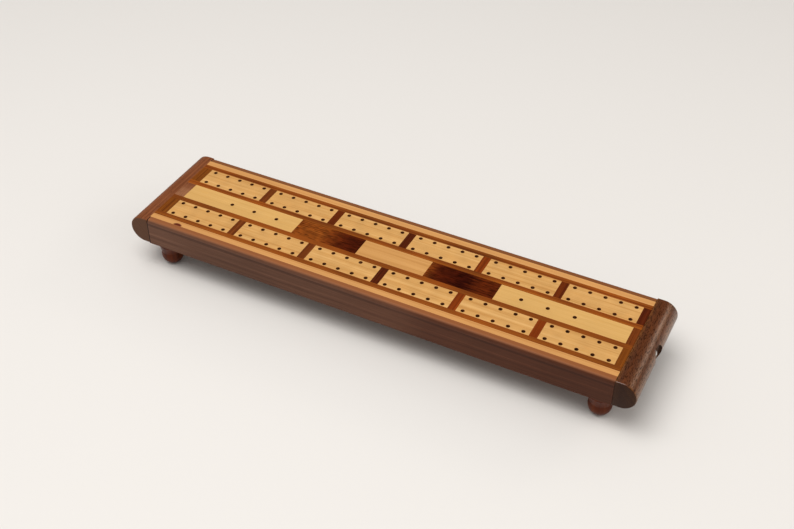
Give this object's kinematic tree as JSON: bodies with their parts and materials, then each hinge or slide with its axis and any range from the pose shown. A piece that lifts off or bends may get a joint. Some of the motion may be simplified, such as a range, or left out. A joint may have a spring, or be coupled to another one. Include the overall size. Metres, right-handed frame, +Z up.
{
  "type": "cribbage box with drawer",
  "caption": "Long laminated peg board box with half-round ends, turned ball feet and a drawer that slides out of one end.",
  "frame": {"origin": "on the table, under the middle of the box", "axes": "+X along the board towards the drawer front, +Y across the board towards the back, +Z up"},
  "size_m": [0.3396, 0.077, 0.0378],
  "materials": {
    "walnut_rail": "oiled, satin, straight fine grain",
    "walnut_cap": "oiled, satin",
    "dark_cap": "oiled, satin, open pores",
    "maple": "oiled, satin, pale",
    "maple_strip": "oiled, satin, pale",
    "stripe": "oiled, satin, red-brown",
    "dark_bar": "oiled, satin, dark streaks",
    "spacer": "oiled, satin, brown",
    "foot_wood": "varnished, glossy",
    "walnut_panel": "oiled, satin",
    "birch_ply": "sanded",
    "screw_steel": "polished",
    "peg_light": "turned, waxed",
    "peg_dark": "turned, waxed",
    "drawer_wood": "sanded, waxed"
  },
  "bodies": {
    "case": {"ball_feet": "foot_wood", "bottom_panel": "walnut_panel", "centre_bar_left": "dark_bar", "centre_bar_right": "dark_bar", "centre_field_left": "maple", "centre_field_right": "maple", "centre_middle": "maple", "deck_lining": "birch_ply", "edge_strip_back": "maple_strip", "edge_strip_front": "maple_strip", "end_cap": "walnut_cap", "end_spacer_left_back": "spacer", "end_spacer_left_centre": "spacer", "end_spacer_left_front": "spacer", "end_spacer_right_back": "spacer", "end_spacer_right_centre": "spacer", "end_spacer_right_front": "spacer", "inner_stripe_back": "stripe", "inner_stripe_front": "stripe", "outer_stripe_back": "stripe", "outer_stripe_front": "stripe", "peg_blocks_back": "maple", "peg_blocks_front": "maple", "side_back": "walnut_rail", "side_front": "walnut_rail", "spacer_back_1": "spacer", "spacer_back_2": "spacer", "spacer_back_3": "spacer", "spacer_back_4": "spacer", "spacer_back_5": "spacer", "spacer_front_1": "spacer", "spacer_front_2": "spacer", "spacer_front_3": "spacer", "spacer_front_4": "spacer", "spacer_front_5": "spacer"},
    "drawer": {"drawer_back": "drawer_wood", "drawer_divider": "drawer_wood", "drawer_floor": "drawer_wood", "drawer_front": "dark_cap", "drawer_inner_front": "drawer_wood", "drawer_side_back": "drawer_wood", "drawer_side_front": "drawer_wood", "front_screw": "screw_steel", "pegs_dark": "peg_dark", "pegs_light": "peg_light"}
  },
  "joints": [
    {"name": "drawer_slide", "type": "slide", "parent": "case", "child": "drawer", "axis": [1, 0, 0], "range_m": [0, 0.255]}
  ]
}
